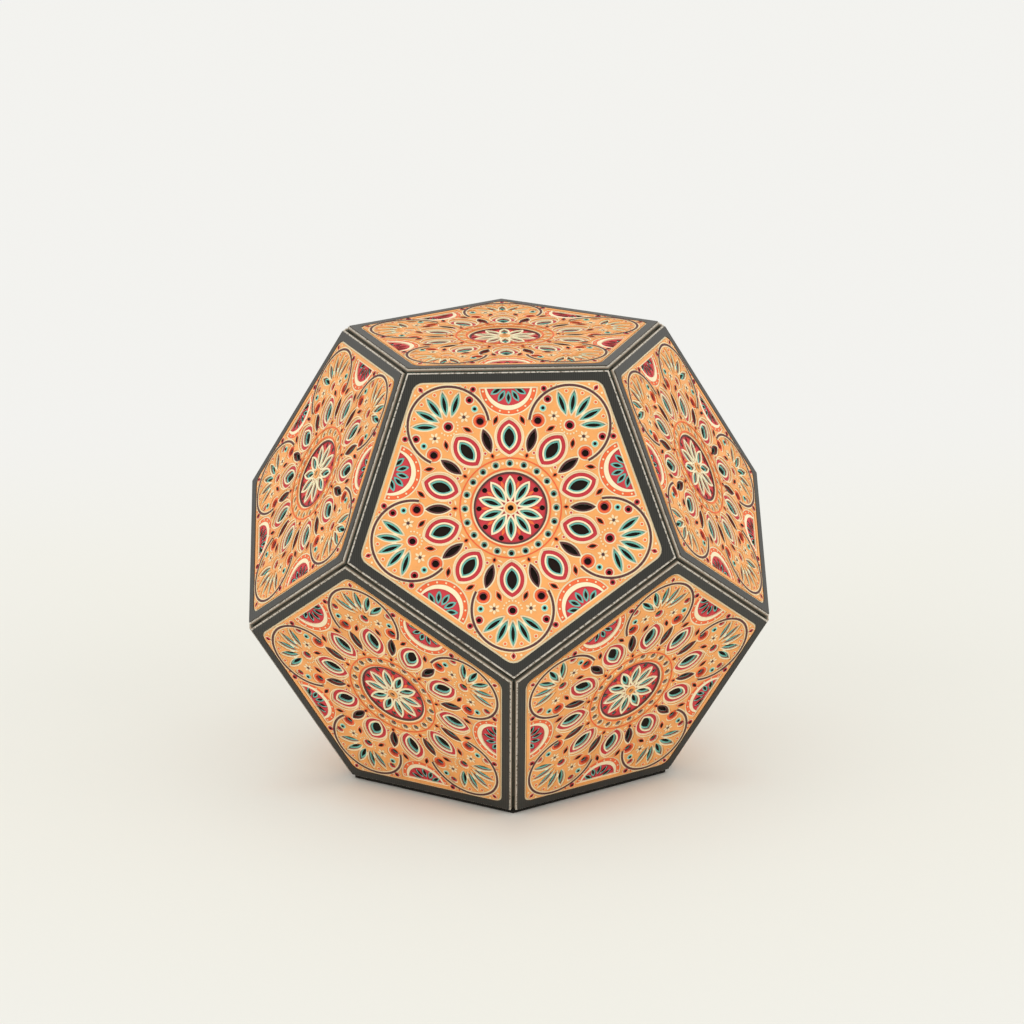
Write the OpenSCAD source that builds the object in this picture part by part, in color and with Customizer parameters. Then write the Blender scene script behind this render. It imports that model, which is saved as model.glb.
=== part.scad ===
// Twelve-sided lantern of layered cut card, standing on one face.
// Each of its eleven panels is a stack of five coloured sheets. A hole in a lower sheet is a
// little smaller than the one above it, so thin rims of the deeper colours show round it.
// The backing sheet is uncut thin paper, which looks black in the holes and lets a light glow.
// The twelfth face is a plain black board with a round opening for a small light.
// Folded strips of brown card join the panels inside, one along each seam.

/* [Solid] */
// Length of an edge of the solid that the panels' inner faces make
edge_len = 60; // [48:1:90]

/* [Card] */
// Thickness of every coloured sheet
card_t = 0.35; // [0.2:0.05:0.5]
// Thickness of the folded strips along the seams
strip_t = 0.3; // [0.2:0.05:0.5]
// Thickness of the black board that the lantern stands on
base_t = 2; // [1:0.1:4]

/* [Panel edges] */
// Gap between a panel and the fold line that it shares with its neighbour
edge_gap = 0.1; // [0.05:0.05:0.4]
// Width of the cream line that shows outside the charcoal frame
edge_line = 0.45; // [0.2:0.05:1]
// Width of the charcoal frame
frame_w = 2.5; // [1.5:0.1:4]
// Width of the cream line between the frame and the orange field
field_line = 0.6; // [0.3:0.05:1.2]
// Corner radius of the orange field
field_corner_r = 3; // [1:0.5:6]

/* [Seam strips] */
// Width of each of a strip's two wings
wing_w = 6; // [3:0.5:10]
// Gap that keeps two strips apart where they meet at a corner
strip_gap = 1; // [0.5:0.1:4]

/* [Base] */
// Radius of the round opening for the light
light_r = 25; // [15:1:30]

/* [Rims] */
// Width of a cream rim
cream_rim = 0.45; // [0.3:0.05:0.6]
// Width of a coloured rim
colour_rim = 0.5; // [0.3:0.05:0.6]
// Gap round a piece that is laid into a hole
inlay_gap = 0.05; // [0.02:0.01:0.1]
// Orange left between one ring of the pattern and the next
ring_gap = 0.7; // [0.4:0.1:0.9]

/* [Centre medallion] */
// Radius of the round medallion
medallion_r = 11.4; // [10.4:0.1:12]
// Radius of the disc in its middle
core_r = 2.1; // [1.8:0.1:2.4]
// Radius of the hole in that disc
core_hole_r = 0.9; // [0.6:0.05:1.1]
// Length of each of its pointed petals
star_len = 8; // [6.8:0.1:8.4]
// Width of each of its pointed petals
star_w = 3.3; // [2.8:0.1:3.6]
// Width of the cream left round the slit in a pointed petal
star_rim = 0.55; // [0.4:0.05:0.7]
// Radius of the dots between the petals' tips
star_dot_r = 0.8; // [0.5:0.05:1]
// Crimson left outside those dots
star_dot_gap = 0.2; // [0.1:0.05:0.4]
// Width of the plum ring round them
plum_ring_w = 0.6; // [0.3:0.05:0.8]

/* [Beads] */
// Radius of the small beads round the medallion
bead_r = 1.4; // [1.2:0.05:1.5]

/* [Lotus petals] */
// Length of a large petal
lotus_len = 11.6; // [10.6:0.1:11.8]
// Width of a large petal
lotus_w = 8.2; // [7:0.1:8.6]
// Crimson left round the almond in a large petal
lotus_rim = 1.15; // [0.9:0.05:1.4]
// Width of the almond's cream edge
almond_rim = 0.5; // [0.4:0.05:0.6]
// Length of the narrow petals between the large ones
bud_len = 9; // [7.5:0.1:9.6]
// Width of the narrow petals
bud_w = 3.8; // [3.2:0.1:4]
// Radius of the discs between the petals' tips
boss_r = 2.5; // [2.1:0.1:2.7]
// Distance of their middles beyond the petals' tips
boss_beyond = 0.5; // [0:0.1:1]
// Width of the vermilion ring in such a disc
boss_ring_w = 0.7; // [0.5:0.05:0.8]
// Width of the crimson rim inside that ring
boss_rim = 0.3; // [0.2:0.05:0.4]

/* [Lunettes] */
// Radius of the half round on each side of the field
lunette_r = 8.8; // [7.4:0.1:9.2]
// Orange left between its flat side and the field's edge
lunette_margin = 1; // [0.6:0.1:1.4]
// Width of the vermilion band inside it
band_w = 1.3; // [1:0.1:1.6]
// Width of the cream crescent at its middle
crescent_w = 1.4; // [1:0.1:1.8]
// Length of each ray
ray_len = 4.2; // [3.4:0.1:4.4]
// Width of each ray
ray_w = 1.8; // [1.5:0.05:1.9]
// Angle between two rays
ray_step = 30; // [27:0.5:31]
// Crimson left between a ray and the crescent
ray_gap = 0.4; // [0.2:0.05:0.6]

/* [Corner fans] */
// Distance from a fan's root to the middle of the panel
fan_at = 30.6; // [30:0.1:31.4]
// Radius of the disc at its root
root_r = 1.9; // [1.6:0.1:2.1]
// Orange left between that disc and the blades
root_gap = 0.6; // [0.4:0.1:1]
// Length of each blade
blade_len = 9; // [7.5:0.1:9.4]
// Width of each blade
blade_w = 3; // [2.6:0.1:3.2]
// Angle between two blades
blade_step = 27; // [25:0.5:29]
// Radius of the dots beside the fans
dot_r = 1.6; // [1.2:0.1:1.8]
// Distance of those dots from the middle of the field's side, along it
dot_side = 11.6; // [11.2:0.1:12]
// Distance of those dots from the field's side
dot_in = 4.8; // [4:0.1:5.4]

/* [Hidden] */
$fn = 48;
SIDES = 5;
PETALS = 2 * SIDES;
TURN = 360 / SIDES;
HALF_TURN = TURN / 2;
TILT = atan(2);
DIHEDRAL = 180 - TILT;
FAR = 100;

// Sheets of a panel, from the top one down
FIELD = 0;
CREAM = 1;
CRIMSON = 2;
TEAL = 3;
BACKING = 4;
SHEETS = 5;

// The solid and its panels
apothem = edge_len / (2 * tan(HALF_TURN));
inner_r = edge_len * sqrt(10 * (25 + 11 * sqrt(5))) / 20;
centre_z = base_t + inner_r;
sheet_apothem = apothem - edge_gap;
frame_apothem = sheet_apothem - edge_line;
opening_apothem = frame_apothem - frame_w;
field_apothem = opening_apothem - field_line;
strip_len = edge_len - 2 * (wing_w / tan(90 - HALF_TURN) + strip_gap);

// The pattern's sizes are those on a field of this size. It is scaled to fit any other.
USUAL_FIELD = 37.6;
pattern_scale = field_apothem / USUAL_FIELD;

// Places of the pattern's rings
STAR_OVERLAP = 0.2;
star_at = core_r + star_len / 2 - STAR_OVERLAP;
star_dot_at = medallion_r - cream_rim - plum_ring_w - star_dot_gap - star_dot_r;
bead_at = medallion_r + ring_gap + bead_r;
lotus_at = bead_at + bead_r + ring_gap + lotus_len / 2;
boss_at = lotus_at + lotus_len / 2 + boss_beyond;
lunette_at = USUAL_FIELD - lunette_margin;
lunette_ground_r = lunette_r - 2 * cream_rim - band_w;
crescent_shift = crescent_w - cream_rim;

// Each list says how much smaller than its motif the hole in each of the four upper sheets is,
// from the top one down. A sheet whose value is undef has no hole there.
deep_rim = cream_rim + colour_rim;
TEAL_HOLE = [0, cream_rim, cream_rim, deep_rim];
CRIMSON_HOLE = [0, cream_rim, deep_rim, deep_rim];
GROUND = [0, cream_rim, undef, undef];
boss_hole = cream_rim + boss_ring_w + boss_rim;
BOSS_HOLE = [0, cream_rim, boss_hole, boss_hole];
star_hole = star_rim + colour_rim;
STAR_HOLE = [undef, star_rim, star_rim, star_hole];
almond_edge = cream_rim + lotus_rim;
almond_inner = almond_edge + almond_rim;
almond_hole = almond_inner + colour_rim;
ALMOND_HOLE = [undef, almond_inner, almond_inner, almond_hole];
TEAL_DOT = [0, cream_rim, cream_rim, undef];
TEAL_IN_CRIMSON = [undef, undef, 0, undef];
BLACK_DOT = [undef, undef, 0, 0];
BLACK_SLOT = [0, 0, 0, 0];

PANELS = 11;

// Panel 0 is the top one, 1 to 5 are the upper ones and 6 to 10 the lower ones.
// Children are drawn with the panel's inner face at height 0, its outside up and one of its
// corners at +Y.
module on_panel(k) {
    upper = k <= SIDES;
    tilt = k == 0 ? 0 : upper ? TILT : 180 - TILT;
    turn = k == 0 ? 0 : upper ? -90 + TURN * (k - 1) : -90 - HALF_TURN + TURN * (k - SIDES);
    spin = k == 0 ? 0 : upper ? -90 : 90;
    translate([0, 0, centre_z])
        rotate([0, tilt, turn])
            rotate([0, 0, spin])
                translate([0, 0, inner_r])
                    children();
}

module pentagon(a) {
    r = a / cos(HALF_TURN);
    polygon([for (i = [0:SIDES - 1]) r * [cos(90 + TURN * i), sin(90 + TURN * i)]]);
}

module round_pentagon(a, corner) {
    r = (a - corner) / cos(HALF_TURN);
    steps = 4;
    polygon([for (i = [0:SIDES - 1], s = [0:steps])
        let (at = 90 + TURN * i, to = at - HALF_TURN + TURN * s / steps)
        r * [cos(at), sin(at)] + corner * [cos(to), sin(to)]]);
}

// Shapes that are drawn smaller by $inset all round
module disc(r) {
    circle(r - $inset);
}

// Pointed at both ends, along Y
module almond(len, w) {
    r = (len * len + w * w) / (4 * w);
    intersection() {
        translate([r - w / 2, 0]) circle(r - $inset);
        translate([w / 2 - r, 0]) circle(r - $inset);
    }
}

// Half a disc above the X axis
module half_disc(r) {
    intersection() {
        disc(r);
        translate([-FAR, $inset]) square([2 * FAR, FAR]);
    }
}

// Repeats its children round the middle, the first of them at +Y turned by start
module ring(n, start = 0) {
    for (i = [0:n - 1])
        rotate(start + 360 / n * i) children();
}

// Cuts its children out of one sheet, smaller by what the list says
module cut(insets, sheet) {
    if (insets[sheet] != undef) {
        $inset = insets[sheet];
        children();
    }
}

module star_petals() {
    ring(PETALS) translate([0, star_at]) almond(star_len, star_w);
}

module lotus_petals() {
    ring(PETALS) translate([0, lotus_at]) almond(lotus_len, lotus_w);
}

module buds() {
    ring(PETALS, HALF_TURN / 2) translate([0, lotus_at]) almond(bud_len, bud_w);
}

module bosses() {
    ring(PETALS, HALF_TURN / 2) translate([0, boss_at]) disc(boss_r);
}

module lunettes() {
    ring(SIDES, HALF_TURN) translate([0, lunette_at]) rotate(180) children();
}

// Wide cuts that show the crimson sheet, where smaller pieces may stand
module grounds(sheet) {
    cut(GROUND, sheet) {
        disc(medallion_r);
        lotus_petals();
        lunettes() half_disc(lunette_r);
    }
}

// Pieces of a sheet that stand inside a wide cut
module islands(sheet) {
    $inset = 0;
    if (sheet == FIELD)
        disc(core_r - cream_rim);
    if (sheet == CREAM) {
        disc(core_r);
        star_petals();
        lotus_petals($inset = almond_edge);
        lunettes() difference() {
            half_disc(lunette_ground_r + cream_rim);
            translate([0, -crescent_shift]) circle(lunette_ground_r);
        }
    }
}

module medallion_holes(sheet) {
    cut(BLACK_SLOT, sheet) disc(core_hole_r);
    cut(STAR_HOLE, sheet) star_petals();
    cut(BLACK_DOT, sheet)
        ring(PETALS, HALF_TURN / 2) translate([0, star_dot_at]) disc(star_dot_r);
}

module ring_holes(sheet) {
    cut(TEAL_DOT, sheet) ring(2 * PETALS) translate([0, bead_at]) disc(bead_r);
    cut(ALMOND_HOLE, sheet) lotus_petals();
    cut(CRIMSON_HOLE, sheet) buds();
    cut(BOSS_HOLE, sheet) bosses();
}

module lunette_holes(sheet) {
    cut(TEAL_IN_CRIMSON, sheet)
        lunettes() translate([0, -crescent_shift]) for (i = [-2:2])
            rotate(ray_step * i) translate([0, lunette_ground_r - ray_gap - ray_len / 2])
                almond(ray_len, ray_w);
}

module fan_holes(sheet) {
    ring(SIDES) translate([0, fan_at]) {
        cut(CRIMSON_HOLE, sheet) disc(root_r);
        cut(TEAL_HOLE, sheet)
            for (i = [-2:2])
                rotate(blade_step * i) translate([0, root_r + root_gap + blade_len / 2])
                    almond(blade_len, blade_w);
    }
    cut(CRIMSON_HOLE, sheet)
        ring(SIDES, HALF_TURN) for (side = [-1, 1])
            translate([side * dot_side, USUAL_FIELD - dot_in]) disc(dot_r);
}

// One sheet's pattern, cut out of the outline that is its child
module patterned(sheet) {
    difference() {
        union() {
            difference() {
                children();
                scale(pattern_scale) grounds(sheet);
            }
            scale(pattern_scale) islands(sheet);
        }
        scale(pattern_scale) {
            medallion_holes(sheet);
            ring_holes(sheet);
            lunette_holes(sheet);
            fan_holes(sheet);
        }
    }
}

module sheet_at(k, sheet) {
    on_panel(k)
        translate([0, 0, (SHEETS - 1 - sheet) * card_t])
            linear_extrude(card_t)
                children();
}

module frame(k) {
    color([0.24, 0.24, 0.23]) sheet_at(k, FIELD) difference() {
        pentagon(frame_apothem);
        round_pentagon(opening_apothem, field_corner_r + field_line);
    }
}

module field(k) {
    color([0.98, 0.69, 0.40]) sheet_at(k, FIELD)
        patterned(FIELD) round_pentagon(field_apothem, field_corner_r);
}

module cream(k) {
    color([0.99, 0.87, 0.67]) sheet_at(k, CREAM) patterned(CREAM) pentagon(sheet_apothem);
}

module crimson(k) {
    color([0.84, 0.17, 0.26]) sheet_at(k, CRIMSON) patterned(CRIMSON) pentagon(sheet_apothem);
}

module teal(k) {
    color([0.47, 0.76, 0.73]) sheet_at(k, TEAL) patterned(TEAL) pentagon(sheet_apothem);
}

module backing(k) {
    color([0.08, 0.07, 0.07]) sheet_at(k, BACKING) pentagon(sheet_apothem);
}

// Bands and rings that lie on the crimson sheet, inside the cream rims
module vermilion(k) {
    $inset = cream_rim + inlay_gap;
    color([0.94, 0.40, 0.20]) sheet_at(k, CREAM) scale(pattern_scale) {
        lunettes() difference() {
            half_disc(lunette_r);
            circle(lunette_ground_r + cream_rim + inlay_gap);
        }
        difference() {
            bosses();
            bosses($inset = cream_rim + boss_ring_w);
        }
    }
}

module plum(k) {
    $inset = cream_rim + inlay_gap;
    color([0.38, 0.19, 0.27]) sheet_at(k, CREAM) scale(pattern_scale) {
        difference() {
            disc(medallion_r);
            circle(medallion_r - cream_rim - plum_ring_w);
        }
        difference() {
            buds();
            buds($inset = deep_rim);
        }
    }
}

// A folded strip's section, with the fold at the origin and its first wing along +X
module strip_section() {
    wing = [[0, 0], [wing_w, 0], [wing_w, -strip_t], [strip_t / tan(DIHEDRAL / 2), -strip_t]];
    polygon(wing);
    rotate(-DIHEDRAL) mirror([0, 1]) polygon(wing);
}

// Strip along one of a panel's sides, which are counted anticlockwise from the one at -Y
module strip_at(side) {
    rotate([0, 0, TURN * side])
        translate([-strip_len / 2, -apothem, 0])
            rotate([90, 0, 90])
                linear_extrude(strip_len)
                    strip_section();
}

// Each panel carries the strips of its seams with the panels that come after it
module seam_strips() {
    color([0.42, 0.34, 0.27]) {
        on_panel(0) for (side = [0:4]) strip_at(side);
        for (k = [1:SIDES]) on_panel(k) for (side = [2:4]) strip_at(side);
        for (k = [SIDES + 1:2 * SIDES]) on_panel(k) for (side = [-1:0]) strip_at(side);
    }
}

module base_board() {
    color([0.1, 0.09, 0.09]) linear_extrude(base_t) difference() {
        rotate(180) pentagon(sheet_apothem);
        circle(light_r);
    }
}

frame(0);  // top_frame
frame(1);  // upper_1_frame
frame(2);  // upper_2_frame
frame(3);  // upper_3_frame
frame(4);  // upper_4_frame
frame(5);  // upper_5_frame
frame(6);  // lower_1_frame
frame(7);  // lower_2_frame
frame(8);  // lower_3_frame
frame(9);  // lower_4_frame
frame(10);  // lower_5_frame
field(0);  // top_field
field(1);  // upper_1_field
field(2);  // upper_2_field
field(3);  // upper_3_field
field(4);  // upper_4_field
field(5);  // upper_5_field
field(6);  // lower_1_field
field(7);  // lower_2_field
field(8);  // lower_3_field
field(9);  // lower_4_field
field(10);  // lower_5_field
cream(0);  // top_cream
cream(1);  // upper_1_cream
cream(2);  // upper_2_cream
cream(3);  // upper_3_cream
cream(4);  // upper_4_cream
cream(5);  // upper_5_cream
cream(6);  // lower_1_cream
cream(7);  // lower_2_cream
cream(8);  // lower_3_cream
cream(9);  // lower_4_cream
cream(10);  // lower_5_cream
crimson(0);  // top_crimson
crimson(1);  // upper_1_crimson
crimson(2);  // upper_2_crimson
crimson(3);  // upper_3_crimson
crimson(4);  // upper_4_crimson
crimson(5);  // upper_5_crimson
crimson(6);  // lower_1_crimson
crimson(7);  // lower_2_crimson
crimson(8);  // lower_3_crimson
crimson(9);  // lower_4_crimson
crimson(10);  // lower_5_crimson
backing(0);  // top_backing
backing(1);  // upper_1_backing
backing(2);  // upper_2_backing
backing(3);  // upper_3_backing
backing(4);  // upper_4_backing
backing(5);  // upper_5_backing
backing(6);  // lower_1_backing
backing(7);  // lower_2_backing
backing(8);  // lower_3_backing
backing(9);  // lower_4_backing
backing(10);  // lower_5_backing
for (k = [0:PANELS - 1]) teal(k);  // teal_sheets
for (k = [0:PANELS - 1]) vermilion(k);  // vermilion_inlays
for (k = [0:PANELS - 1]) plum(k);  // plum_inlays
seam_strips();
base_board();
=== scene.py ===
# %% [markdown]
# # A lantern of layered cut card
# The lantern is a regular dodecahedron that stands on one face. Its eleven decorated panels are
# stacks of five coloured sheets, cut so that each deeper sheet shows as a rim or a small field.
# The sheets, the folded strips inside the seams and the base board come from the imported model
# and keep their shapes. This lesson gives each sheet the finish of real card, lays the finest
# paper trimmings on the panels and lights the lantern like a product photograph.

import math

import bmesh
import bpy
from mathutils import Matrix, Vector


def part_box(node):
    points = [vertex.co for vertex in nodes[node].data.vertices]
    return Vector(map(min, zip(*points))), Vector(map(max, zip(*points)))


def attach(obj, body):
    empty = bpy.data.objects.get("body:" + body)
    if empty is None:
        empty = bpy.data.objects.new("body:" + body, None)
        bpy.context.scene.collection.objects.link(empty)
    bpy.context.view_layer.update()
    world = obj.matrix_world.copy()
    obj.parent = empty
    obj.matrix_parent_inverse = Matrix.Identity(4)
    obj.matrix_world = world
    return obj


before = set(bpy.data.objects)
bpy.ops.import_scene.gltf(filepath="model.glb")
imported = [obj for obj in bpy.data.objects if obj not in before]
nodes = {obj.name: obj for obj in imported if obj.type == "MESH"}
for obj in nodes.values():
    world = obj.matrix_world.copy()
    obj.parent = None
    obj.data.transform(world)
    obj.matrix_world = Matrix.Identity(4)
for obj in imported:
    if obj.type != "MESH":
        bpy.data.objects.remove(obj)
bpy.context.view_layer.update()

# %% [markdown]
# ## Measure the solid
# Everything that is added has to sit on the panels that are already there. A dodecahedron is
# fixed by one length, so the script doesn't repeat sizes: it reads the board's height, the
# sheets' thickness and the field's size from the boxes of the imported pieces.

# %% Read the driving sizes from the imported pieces
MM = 0.001
base_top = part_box("base_board")[1].z
inner_radius = (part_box("top_backing")[0].z - base_top) / 2
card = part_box("top_frame")[1].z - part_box("top_cream")[1].z
middle = Vector((0, 0, base_top + inner_radius))
USUAL_FIELD = 37.6
pattern_scale = -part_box("top_field")[0].y / (USUAL_FIELD * MM)
print("inner radius %.2f mm, card %.2f mm, pattern scale %.3f"
      % (inner_radius / MM, card / MM, pattern_scale))

# %% [markdown]
# ## Find the panels
# The panels are numbered from the top down: 0 is the top one, 1 to 5 the upper ones and 6 to 10
# the lower ones. One matrix for each panel lets a drawing be made once, flat and in millimetres,
# and then be set on all eleven. Panel 1 faces the front.

# %% Make a matrix for each panel
SIDES = 5
TURN = 360 / SIDES
PANELS = 11
TILT = math.degrees(math.atan(2))


def panel_matrix(k):
    upper = k <= SIDES
    tilt = 0 if k == 0 else TILT if upper else 180 - TILT
    turn = 0 if k == 0 else TURN * (k - 1) - 90 if upper else TURN * (k - SIDES) - 90 - TURN / 2
    spin = 0 if k == 0 else -90 if upper else 90
    turned = [Matrix.Rotation(math.radians(a), 4, axis)
              for a, axis in ((turn, "Z"), (tilt, "Y"), (spin, "Z"))]
    lift = Matrix.Translation((0, 0, inner_radius))
    return Matrix.Translation(middle) @ turned[0] @ turned[1] @ turned[2] @ lift


panels = [panel_matrix(k) for k in range(PANELS)]
axes = [(m.to_3x3() @ Vector((0, 0, 1))).normalized() for m in panels]
front_half = axes[:SIDES + 1]
print("panel 1 faces", [round(c, 3) for c in axes[1]])

# %% [markdown]
# ## Write shader maths as expressions
# Card looks like card because several small effects vary over it at once, and each of them is a
# little sum on numbers. Wiring that by hand hides the idea. A small class wraps a socket, so that
# an expression such as `grain * 0.3 + 0.7` adds its own Math nodes. Colours go through Mix nodes,
# because a Math node would turn them grey.

# %% Wrap sockets in a small class


class Wire:
    """One output socket, on which sums can be written."""

    def __init__(self, tree, socket):
        self.tree = tree
        self.socket = socket

    def sum(self, operation, *values):
        return node(self.tree, "ShaderNodeMath", {"operation": operation}, dict(enumerate(values)))

    def __add__(self, other):
        return self.sum("ADD", self, other)

    __radd__ = __add__

    def __sub__(self, other):
        return self.sum("SUBTRACT", self, other)

    def __rsub__(self, other):
        return self.sum("SUBTRACT", other, self)

    def __mul__(self, other):
        return self.sum("MULTIPLY", self, other)

    __rmul__ = __mul__

    def __abs__(self):
        return self.sum("ABSOLUTE", self)

    def least(self, other):
        return self.sum("MINIMUM", self, other)

    def most(self, other):
        return self.sum("MAXIMUM", self, other)


def node(tree, kind, settings=None, values=None, output=0):
    """Adds a node: first its settings, then the values or links of its sockets."""
    made = tree.nodes.new(kind)
    for name, setting in (settings or {}).items():
        setattr(made, name, setting)
    for name, value in (values or {}).items():
        if isinstance(value, Wire):
            tree.links.new(value.socket, made.inputs[name])
        else:
            made.inputs[name].default_value = value
    return Wire(tree, made.outputs[output])


# %% Give the sums a few names
def between(value, low, high):
    """0 below low, 1 above high and smooth in between."""
    settings = {"interpolation_type": "SMOOTHSTEP"}
    return node(value.tree, "ShaderNodeMapRange", settings,
                {"Value": value, "From Min": low, "From Max": high})


def blended(amount, first, second):
    """A colour that goes from first to second."""
    tree = amount.tree
    made = tree.nodes.new("ShaderNodeMix")
    made.data_type = "RGBA"
    tree.links.new(amount.socket, made.inputs["Factor"])
    for name, colour in (("A", first), ("B", second)):
        socket = [s for s in made.inputs if s.name == name and s.type == "RGBA"][0]
        if isinstance(colour, Wire):
            tree.links.new(colour.socket, socket)
        else:
            socket.default_value = (*colour, 1)
    return Wire(tree, [s for s in made.outputs if s.type == "RGBA"][0])


def noise(place, size, detail=2, roughness=0.5):
    """Cloudy noise from 0 to 1, whose lumps are about this many millimetres wide."""
    values = {"Vector": place, "Scale": 1 / (size * MM), "Detail": detail, "Roughness": roughness}
    return node(place.tree, "ShaderNodeTexNoise", None, values)


# %% [markdown]
# ## Know where a point is on the solid
# Two masks drive the wear and the browned edges of every sheet. The dodecahedron's six face axes
# give both. The largest of a point's six distances along them is the panel that it is on, and the
# second largest is the nearest neighbour, so their difference is the distance to the seam. A
# surface whose normal lies along none of the axes is a cut edge. How far a vector reaches along a
# fixed axis is used again for the ribs of the frames and for the floor.

# %% Work out the distance to the seam and the cut edges
SEAM_SLOPE = math.sin(math.radians(TILT))
FLAT_FROM, FLAT_TO = 0.92, 0.98


def object_place(tree):
    return node(tree, "ShaderNodeTexCoord", None, None, "Object")


def reach_along(vector, axis):
    """How far a vector reaches along a fixed axis."""
    return node(vector.tree, "ShaderNodeVectorMath", {"operation": "DOT_PRODUCT"},
                {0: vector, 1: tuple(axis)}, "Value")


def along_axes(vector):
    """How far a vector reaches along each of the six axes, whichever way round."""
    return [abs(reach_along(vector, axis)) for axis in front_half]


def seam_distance(place):
    """Metres from the seam that the panel shares with its nearest neighbour."""
    from_middle = node(place.tree, "ShaderNodeVectorMath", {"operation": "SUBTRACT"},
                       {0: place, 1: tuple(middle)})
    largest, *rest = along_axes(from_middle)
    second = None
    for part in rest:
        smaller = largest.least(part)
        second = smaller if second is None else second.most(smaller)
        largest = largest.most(part)
    return (largest - second) * (1 / SEAM_SLOPE)


def cut_edge(tree):
    """1 on a sheet's cut edges and 0 on its faces."""
    normal = node(tree, "ShaderNodeTexCoord", None, None, "Normal")
    largest, *rest = along_axes(normal)
    for part in rest:
        largest = largest.most(part)
    return 1 - between(largest, FLAT_FROM, FLAT_TO)


# %% [markdown]
# ## Card
# All the sheets are the same kind of card in different colours. Real card is never one flat
# colour: its fibres make a fine grain, the dye is a little cloudy, a cut edge is browned by the
# cutter, and corners and folds rub pale. One function makes them all, with the colour and the
# amounts as its arguments. Its steps come first, as short functions.
#
# Two sheets have a mark of their own. The charcoal card has fine pressed ribs, whose shade is
# painted into its colour as dark stripes, and the cream card is seen as a ledge along the seams,
# where dirt breaks its pale line into dashes.

# %% Set the sizes and the colours of the marks
FIBRE = 0.35
LUMP = 1.6
CLOUD = 14
DIRT_SPOT = 0.8
RUB_FLECK = 0.7
RUB_PATCH = 9
RIB = 0.62 * MM
LEDGE = 1.5 * MM
LEDGE_FADE = 0.1 * MM
SEAM_NEAR, SEAM_CLEAR = 1.2 * MM, 2.2 * MM
RUB_FULL, RUB_END = 0.9 * MM, 2.4 * MM
FIBRE_HEIGHT = 0.06 * MM
SCORCHED = (0.17, 0.085, 0.04)
# Painted shade of the seams' V-grooves, laid on the cut edges there.
SEAM_PAINTED_SHADE = (0.085, 0.075, 0.055)
LEDGE_DIRT = (0.20, 0.17, 0.13)
RUBBED = (0.66, 0.60, 0.50)


# %% Dye the card and paint the shade of its ribs
def tinted(colour, share, added=0.0):
    return tuple(min(1, c * share + added) for c in colour)


def dye(colour, shade):
    """The card's colour, a little darker or lighter with the shade."""
    return blended(between(shade, 0.86, 1.14), tinted(colour, 0.78), tinted(colour, 1.13, 0.004))


def painted_rib_shade(place):
    """Painted shade of fine upright ribs pressed into the card, as stripes from 0 to 1."""
    turns = reach_along(place, (1, 0, 0)) * (2 * math.pi / RIB)
    wave = node(place.tree, "ShaderNodeMath", {"operation": "SINE"}, {0: turns})
    return wave * 0.5 + 0.5


# %% Mark where the card is dirty and rubbed
def dirty_ledge(place, pale):
    """The ledge's pale colour, broken by spots of dirt."""
    return blended(between(noise(place, DIRT_SPOT, 3, 0.6), 0.36, 0.52), LEDGE_DIRT, pale)


def rubbed_marks(place, seam):
    """Flecks in patches, along the outermost part of a panel."""
    outer = 1 - between(seam, RUB_FULL, RUB_END)
    flecks = between(noise(place, RUB_FLECK, 4, 0.7), 0.60, 0.72)
    patches = between(noise(place, RUB_PATCH, 2), 0.45, 0.65)
    return outer * flecks * patches


# %% Make one kind of card
def card_finish(name, colour, cloud=0.10, grain=0.10, rub=0.3, browning=0.5, seam_shade_colour=SEAM_PAINTED_SHADE,
                seam_shading=0.95, roughness=0.62, shine=0.3, ledge=None, ribs=0.0):
    made = bpy.data.materials.new(name)
    made.use_nodes = True
    tree = made.node_tree
    shader = tree.nodes["Principled BSDF"]
    place = object_place(tree)
    fibres = noise(place, FIBRE, 3, 0.65)
    lumps = noise(place, LUMP, 2)
    clouds = noise(place, CLOUD, 3)
    seam = seam_distance(place)
    edge = cut_edge(tree)

    shade = 1 + (fibres - 0.5) * grain + (lumps - 0.5) * (grain * 0.7) + (clouds - 0.5) * cloud
    dyed = dye(colour, shade)
    # Painted shade: the ribs are not bumped, and their shade is painted into the colour as dark
    # stripes.
    if ribs:
        dyed = blended(painted_rib_shade(place) * ribs, dyed, tinted(colour, 0.3))
    if ledge:
        on_ledge = 1 - between(seam, LEDGE, LEDGE + LEDGE_FADE)
        dyed = blended(on_ledge, dyed, dirty_ledge(place, ledge))
    near_seam = 1 - between(seam, SEAM_NEAR, SEAM_CLEAR)
    dyed = blended(edge * (1 - near_seam) * browning, dyed, SCORCHED)
    # Painted shade: the cut edges inside the seams' V-grooves are darkened to the seam colour.
    dyed = blended(edge * near_seam * (seam_shading * (0.75 + fibres * 0.5)), dyed, seam_shade_colour)
    rubbed = rubbed_marks(place, seam) * rub
    dyed = blended(rubbed, dyed, RUBBED)
    tree.links.new(dyed.socket, shader.inputs["Base Color"])

    rough = roughness + (fibres - 0.5) * 0.12 + rubbed * 0.1 + edge * 0.08
    tree.links.new(rough.socket, shader.inputs["Roughness"])
    shader.inputs["Specular IOR Level"].default_value = shine
    height = fibres * 0.6 + lumps * 0.4
    bump = node(tree, "ShaderNodeBump", None,
                {"Strength": 0.35, "Distance": FIBRE_HEIGHT, "Height": height})
    tree.links.new(bump.socket, shader.inputs["Normal"])
    return made
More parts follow.
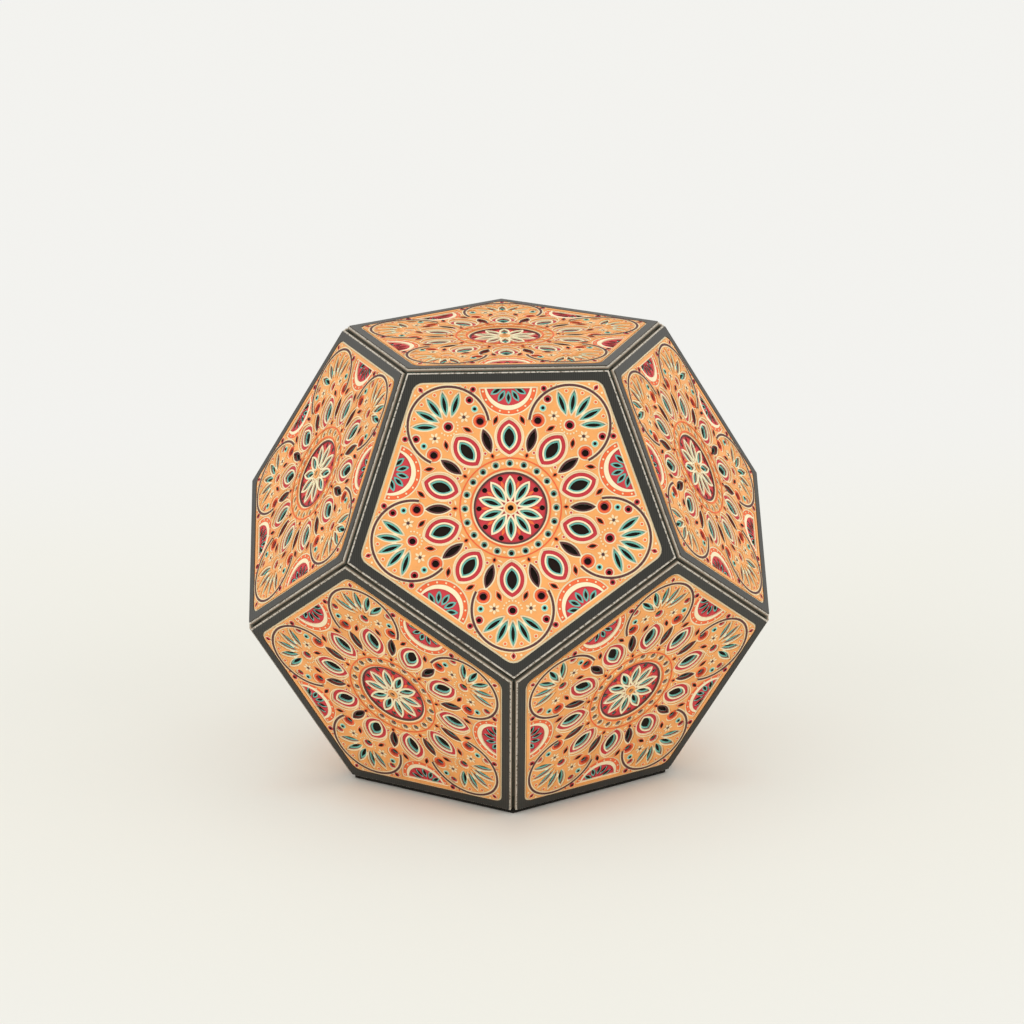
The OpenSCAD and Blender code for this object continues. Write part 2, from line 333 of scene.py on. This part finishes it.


# %% [markdown]
# ## Mix the colours
# The cutter browns light card least, so orange and cream keep clean edges. The cut edges in the
# seams carry painted shade, the shade of the V-grooves, in a different colour for each sheet, which
# parts the layers of the stack.

# %% Mix the colours of the sheets
charcoal = card_finish("charcoal_card", (0.032, 0.032, 0.027), rub=0.75, roughness=0.40,
                       seam_shading=0.4, ribs=0.6)
orange = card_finish("orange_card", (0.90, 0.387, 0.103), cloud=0.14, browning=0.12,
                     roughness=0.52, shine=0.6)
# Painted light: the cream card is lighter than the cream paper, which lifts the shade in its
# narrow, recessed rims.
cream = card_finish("cream_card", (1.0, 0.83, 0.56), rub=0.15, browning=0.1,
                    seam_shade_colour=(0.50, 0.45, 0.37), ledge=(0.68, 0.64, 0.57))
crimson = card_finish("crimson_card", (0.60, 0.042, 0.058), browning=0.3,
                      seam_shade_colour=(0.22, 0.18, 0.13))
teal = card_finish("teal_card", (0.21, 0.67, 0.59), browning=0.3,
                   seam_shade_colour=(0.045, 0.040, 0.030))
vermilion = card_finish("vermilion_card", (0.86, 0.15, 0.045))
plum = card_finish("plum_card", (0.108, 0.042, 0.043), shine=0.2)
black = card_finish("black_card", (0.012, 0.005, 0.003), shine=0.12)
brown = card_finish("brown_card", (0.12, 0.10, 0.075))
board = card_finish("black_board", (0.008, 0.007, 0.006), rub=0.1, browning=0.1,
                    seam_shading=0.1, shine=0.1)
pale_paper = card_finish("cream_paper", (0.98, 0.74, 0.45))
print("card finishes:", len(bpy.data.materials))

# %% [markdown]
# ## Put each sheet in its card
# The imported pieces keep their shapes, and only their materials change. The pieces of one colour
# share the last word of their names, so one small table dresses them all.

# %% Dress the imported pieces
finishes = {"frame": charcoal, "field": orange, "cream": cream, "crimson": crimson,
            "backing": black}
groups = {"teal_sheets": teal, "vermilion_inlays": vermilion, "plum_inlays": plum,
          "seam_strips": brown, "base_board": board}
for name, piece in nodes.items():
    finish = groups.get(name) or finishes[name.split("_")[-1]]
    piece.data.materials.clear()
    piece.data.materials.append(finish)
print("dressed:", len(nodes))

# %% [markdown]
# ## Paper trimmings
# The finest parts of such a lantern are snips of thin paper laid on the sheets: hairlines, dots
# and small leaves. They are modelled, because a printed line would have no edge to catch the
# light. Each is a flat face made with bmesh operators on a drawing in millimetres, which has one
# of the panel's corners at +Y. Small shapes get fewer points, because no one sees the difference.

# %% Draw flat shapes
SMALL_DOT = 0.6
SMALL_LEAF = 2.0


def at(x, y, angle=0.0):
    """A place on the drawing, turned by an angle in degrees."""
    return Matrix.Translation((x, y, 0)) @ Matrix.Rotation(math.radians(angle), 4, "Z")


def spread(count, start=0.0):
    """Turns for copies spread evenly round the middle of a panel."""
    return [Matrix.Rotation(math.radians(start + 360 / count * i), 4, "Z") for i in range(count)]


def dot(bm, place, radius):
    sides = 10 if radius < SMALL_DOT else 16
    bmesh.ops.create_circle(bm, cap_ends=True, segments=sides, radius=radius, matrix=place)


def strip(bm, place, steps, bend):
    """A flat strip. bend moves each of its points, which start from -0.5 to 0.5 both ways."""
    made = bmesh.ops.create_grid(bm, x_segments=steps, y_segments=1, size=0.5)["verts"]
    for point in made:
        point.co = place @ bend(point.co.x, point.co.y)
    bmesh.ops.remove_doubles(bm, verts=made, dist=0.001)


def leaf(bm, place, length, width):
    """Pointed at both ends, along the place's Y axis."""
    def bend(u, v):
        return Vector((v * width * math.cos(math.pi * u), u * length, 0))
    strip(bm, place, 6 if length < SMALL_LEAF else 8, bend)


def arc(bm, place, radius, width, end, steps):
    """A line round the place's origin, as far as an angle on each side of its Y axis."""
    def bend(u, v):
        turn = math.radians(2 * end * u)
        reach = radius + v * width
        return Vector((-reach * math.sin(turn), reach * math.cos(turn), 0))
    strip(bm, place, steps, bend)


# %% [markdown]
# ## Papers on papers
# Most trimmings are nested: a cream one, a smaller coloured one on it and a black seed on top. A
# drawing is kept for each colour and height, so each motif is written once, from the bottom paper
# up.

# %% Keep a drawing for each colour and height
PAPER = 0.12 * MM
LIFT = 0.004 * MM
ON_FIELD = 5
ON_CREAM = 4
ON_CRIMSON = 3
ON_TEAL = 2
drawings = {}


def paper(colour, level, layer=0):
    """The drawing of a colour, lying so many sheets and so many papers up."""
    height = level * card + layer * PAPER + LIFT
    if (colour, height) not in drawings:
        drawings[colour, height] = bmesh.new()
    return drawings[colour, height]


def dots(place, *papers, level=ON_FIELD):
    for layer, (colour, radius) in enumerate(papers):
        dot(paper(colour, level, layer), place, radius)


def leaves(place, *papers, level=ON_FIELD):
    for layer, (colour, length, width) in enumerate(papers):
        leaf(paper(colour, level, layer), place, length, width)


def arcs(place, radius, end, *papers, level=ON_FIELD, steps=40):
    for layer, (colour, width) in enumerate(papers):
        arc(paper(colour, level, layer), place, radius, width, end, steps)


def almond_line(place, length, width, colour, line):
    """A line round a pointed hole, whose two sides are arcs of a circle."""
    reach = (length ** 2 + width ** 2) / (4 * width)
    end = math.degrees(math.acos(1 - width / (2 * reach)))
    for side in (-1, 1):
        middle_of_arc = place @ at(side * (width / 2 - reach), 0, side * -90)
        arcs(middle_of_arc, reach + line / 2, end, (colour, line), steps=12)


# %% [markdown]
# ## Round the middle
# The medallion, the beads and the petals repeat ten times. Two vermilion rings part them, and small
# seeds and dots fill what is left of the orange between them.

# %% Draw the middle of a panel
PETALS = 2 * SIDES
HALF_PETAL = 180 / PETALS
ring_radii = (11.76, 14.97)
bead_at = 13.5
lotus_at = 21.4

for radius in ring_radii:
    arcs(at(0, 0), radius, 180, ("vermilion", 0.42), steps=90)
for turn in spread(2 * PETALS):
    dots(turn @ at(0, bead_at), ("black", 0.58), level=ON_TEAL)
for turn in spread(2 * PETALS, HALF_PETAL / 2):
    dots(turn @ at(0, bead_at), ("cream", 0.42))
for turn in spread(PETALS, HALF_PETAL):
    leaves(turn @ at(0, 7.4), ("vermilion", 2.4, 0.9), level=ON_CRIMSON)
    leaves(turn @ at(0, 16.4), ("vermilion", 1.9, 1.4), ("black", 1.2, 0.75))
for turn in spread(PETALS):
    almond_line(turn @ at(0, lotus_at), 11.6, 8.2, "cream", 0.38)
    for side in (-1, 1):
        leaves(turn @ at(side * 3.4, 16.0, side * 62), ("cream", 1.8, 0.5))
        dots(turn @ at(0, 0, side * 12.3) @ at(0, 17.9), ("cream", 0.62), ("crimson", 0.36))
        leaves(turn @ at(side * 3.95, 26.4, side * 25), ("cream", 4.2, 2.1),
               ("vermilion", 3.6, 1.7), ("black", 2.4, 1.0))
print("drawings:", len(drawings))

# %% [markdown]
# ## Round the corners
# A plum band on cream swings round the fan in each corner. Small flowers and discs stand inside
# it, and a drop fills the tip outside it.

# %% Draw the corners of a panel
fan_at = 30.6

for turn in spread(SIDES):
    fan = turn @ at(0, fan_at)
    arcs(fan, 12.05, 118, ("cream", 1.55), ("plum", 0.7))
    leaves(turn @ at(0, 44.3), ("cream", 2.6, 2.0), ("crimson", 1.9, 1.3), ("black", 1.0, 0.5))
    for i in range(-2, 2):
        dots(fan @ at(0, 0, 27 * (i + 0.5)) @ at(0, 10.3), ("cream", 0.68), ("vermilion", 0.4))
    for i in range(-4, 5):
        dots(fan @ at(0, 0, 180 + 20 * i) @ at(0, 2.8), ("cream", 0.28))
    for side in (-1, 1):
        dots(turn @ at(side * 2.3, 44.0), ("cream", 0.36))
        flower = turn @ at(side * 5.4, 30.1)
        for petal in spread(6):
            leaves(flower @ petal @ at(0, 1.05), ("cream", 1.5, 0.8))
        dots(flower, ("plum", 0.55))
        dots(turn @ at(side * 9.4, 30.15), ("cream", 1.15), ("teal", 0.88), ("black", 0.5))

# %% [markdown]
# ## Along the sides
# Each half round gets a row of cream dots on its band and black seeds on its rays. Discs of
# falling size fill the wedge between it and the corner's band.

# %% Draw the sides of a panel
lunette_at = 36.6
lunette_r = 8.8
ray_at = 4.1
ray_shift = 0.95

for turn in spread(SIDES, TURN / 2):
    lunette = turn @ at(0, lunette_at, 180)
    for i in range(-4, 5):
        dots(lunette @ at(0, 0, 20 * i) @ at(0, lunette_r - 1.1), ("cream", 0.3), level=ON_CREAM)
    for i in range(-2, 3):
        leaves(lunette @ at(0, -ray_shift, 30 * i) @ at(0, ray_at), ("black", 2.6, 0.9),
               level=ON_TEAL)
    for side in (-1, 1):
        dots(turn @ at(side * 10.5, 35.85), ("cream", 1.15), ("crimson", 0.88), ("black", 0.5))
        dots(turn @ at(side * 12.7, 36.6), ("cream", 0.55), ("vermilion", 0.35))
        dots(turn @ at(side * 14.2, 37.0), ("cream", 0.35))
print("drawings:", len(drawings))

# %% [markdown]
# ## Set the drawings on the lantern
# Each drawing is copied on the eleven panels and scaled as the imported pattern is. The papers of a
# colour make one piece, and a Solidify modifier gives them their thickness.

# %% Make the paper pieces
papers = {"cream": pale_paper, "crimson": crimson, "teal": teal, "vermilion": vermilion,
          "plum": plum, "black": black}
for colour, finish in papers.items():
    whole = bmesh.new()
    for (drawn, height), flat in drawings.items():
        if drawn != colour:
            continue
        flat.normal_update()
        upside_down = [f for f in flat.faces if f.normal.z < 0]
        bmesh.ops.reverse_faces(flat, faces=upside_down)
        for panel in panels:
            sheet = bpy.data.meshes.new("sheet")
            flat.to_mesh(sheet)
            sheet.transform(panel @ Matrix.Translation((0, 0, height))
                            @ Matrix.Scale(pattern_scale * MM, 4))
            whole.from_mesh(sheet)
            bpy.data.meshes.remove(sheet)
    mesh = bpy.data.meshes.new(colour + "_paper")
    whole.to_mesh(mesh)
    whole.free()
    mesh.materials.append(finish)
    piece = bpy.data.objects.new(colour + "_paper", mesh)
    bpy.context.scene.collection.objects.link(piece)
    thick = piece.modifiers.new("thickness", "SOLIDIFY")
    thick.thickness = PAPER
    thick.offset = 1
    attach(piece, "root")
    print(piece.name, len(mesh.polygons), "faces before thickness")

# %% [markdown]
# ## The studio
# The photograph shows the lantern on a wide, pale, seamless floor in very soft light. A floor and
# an even world do that. The floor is a warm white that the lamps light like everything else.
# Where the camera sees it, half of it is a pale glow of its own, cooler far away and warm near the
# lantern, where the warmth is painted light, the orange lantern's bounce on the floor. So it looks
# pale without more light on the lantern. The glow fades out at the foot, where the floor keeps its
# soft shadow.

# %% Lay the floor
FLOOR_HALF = 6.0
FLOOR_COLOUR = (0.875, 0.855, 0.81)
flat = bmesh.new()
bmesh.ops.create_grid(flat, x_segments=1, y_segments=1, size=FLOOR_HALF)
floor_mesh = bpy.data.meshes.new("floor")
flat.to_mesh(floor_mesh)
flat.free()
floor = bpy.data.objects.new("floor", floor_mesh)
bpy.context.scene.collection.objects.link(floor)
floor_finish = bpy.data.materials.new("floor_finish")
floor_finish.use_nodes = True
tree = floor_finish.node_tree
floor_shader = tree.nodes["Principled BSDF"]
floor_shader.inputs["Base Color"].default_value = (*FLOOR_COLOUR, 1)
floor_shader.inputs["Roughness"].default_value = 0.9
floor_shader.inputs["Specular IOR Level"].default_value = 0.0
floor_mesh.materials.append(floor_finish)

# %% Measure how far the floor is from the foot
spot_on_floor = object_place(tree)
outwards = [Vector((axis.x, axis.y, 0)).normalized() for axis in axes[SIDES + 1:]]
from_foot = reach_along(spot_on_floor, outwards[0])
for direction in outwards[1:]:
    from_foot = from_foot.most(reach_along(spot_on_floor, direction))

# %% Let the floor look pale to the camera
# Painted light: the warm pale near the lantern is the orange lantern's bounce on the floor.
PALE_AND_PAINTED_BOUNCE = (0.79, 0.81, 0.745)
PALE_FAR = (0.80, 0.835, 0.865)
NEAR_TO, FAR_FROM = 0.12, 0.45
SHADOW_REACH = 0.036
GLOW_SHARE = 0.5
foot_apothem = abs(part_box("base_board")[0].y) * math.cos(math.pi / SIDES)
near, far = [node(tree, "ShaderNodeEmission", None, {"Color": (*pale, 1)})
             for pale in (PALE_AND_PAINTED_BOUNCE, PALE_FAR)]
glow = node(tree, "ShaderNodeMixShader", None,
            {0: between(from_foot, NEAR_TO, FAR_FROM), 1: near, 2: far})
seen = [node(tree, "ShaderNodeLightPath", None, None, "Is %s Ray" % kind)
        for kind in ("Camera", "Glossy", "Transmission")]
open_floor = between(from_foot, foot_apothem, foot_apothem + SHADOW_REACH)
share = seen[0].most(seen[1]).most(seen[2]) * open_floor * GLOW_SHARE
mixed = node(tree, "ShaderNodeMixShader", None,
             {0: share, 1: Wire(tree, floor_shader.outputs[0]), 2: glow})
tree.links.new(mixed.socket, tree.nodes["Material Output"].inputs["Surface"])
print("foot apothem %.1f mm" % (foot_apothem / MM))

# %% [markdown]
# ## Soft light
# The world gives most of the light, from everywhere. Two weak, very soft suns from low left and
# right brighten the upright panels, and a weaker one from above brightens the top panel. The
# camera sees a plain backdrop in the floor's colour instead of the world, so that no horizon shows
# in a low view.

# %% Light it evenly
BACKDROP = (0.888, 0.880, 0.847)
WORLD_COLOUR = (1.0, 0.975, 0.93)
WORLD_STRENGTH = 0.96
SUN_COLOUR = (1, 0.985, 0.95)
world = bpy.data.worlds.new("studio")
bpy.context.scene.world = world
world.use_nodes = True
background = world.node_tree.nodes["Background"]
background.inputs["Color"].default_value = (*WORLD_COLOUR, 1)
background.inputs["Strength"].default_value = WORLD_STRENGTH
tree = world.node_tree
backdrop = node(tree, "ShaderNodeBackground", None, {"Color": (*BACKDROP, 1)})
straight = node(tree, "ShaderNodeLightPath", None, None, "Is Camera Ray")
mixed = node(tree, "ShaderNodeMixShader", None,
             {0: straight, 1: Wire(tree, background.outputs[0]), 2: backdrop})
tree.links.new(mixed.socket, tree.nodes["World Output"].inputs["Surface"])


def soft_sun(name, strength, softness, height, turn):
    """A sun whose light comes from a height and a direction, given in degrees."""
    lamp = bpy.data.lights.new(name, "SUN")
    lamp.energy = strength
    lamp.angle = math.radians(softness)
    lamp.color = SUN_COLOUR
    holder = bpy.data.objects.new(name, lamp)
    holder.rotation_euler = (math.radians(90 - height), 0, math.radians(turn))
    bpy.context.scene.collection.objects.link(holder)


soft_sun("left", 0.47, 50, 22, -60)
soft_sun("right", 0.47, 50, 22, 60)
soft_sun("above", 0.20, 60, 80, 180)

# %% [markdown]
# ## The camera
# The photograph was taken from a little above with a long lens, so upright lines hardly lean.
# The view was matched to the lantern's corners: the distance, the height of the view and a slight
# roll are written as plain values.

# %% Place the camera
AZIMUTH = -1.181
ELEVATION = 15.757
ROLL = -0.584
DISTANCE = 1.2927
SIDEWAYS = -0.00153
UPWARDS = -0.01162
LENS = 145.9
azimuth, elevation, roll = (math.radians(a) for a in (AZIMUTH, ELEVATION, ROLL))
back = Vector((math.sin(azimuth) * math.cos(elevation), -math.cos(azimuth) * math.cos(elevation),
               math.sin(elevation)))
right = Vector((math.cos(azimuth), math.sin(azimuth), 0))
up = back.cross(right)
rolled_right = math.cos(roll) * right + math.sin(roll) * up
rolled_up = back.cross(rolled_right)
spot = middle - SIDEWAYS * rolled_right - UPWARDS * rolled_up + DISTANCE * back
lens = bpy.data.cameras.new("camera")
lens.lens = LENS
lens.sensor_width = 36
lens.clip_start = 0.05
camera = bpy.data.objects.new("camera", lens)
turned = Matrix((rolled_right, rolled_up, back)).transposed().to_4x4()
camera.matrix_world = Matrix.Translation(spot) @ turned
bpy.context.scene.collection.objects.link(camera)
bpy.context.scene.camera = camera
bpy.context.scene.view_settings.view_transform = "Standard"
print("camera at", [round(c, 3) for c in spot])
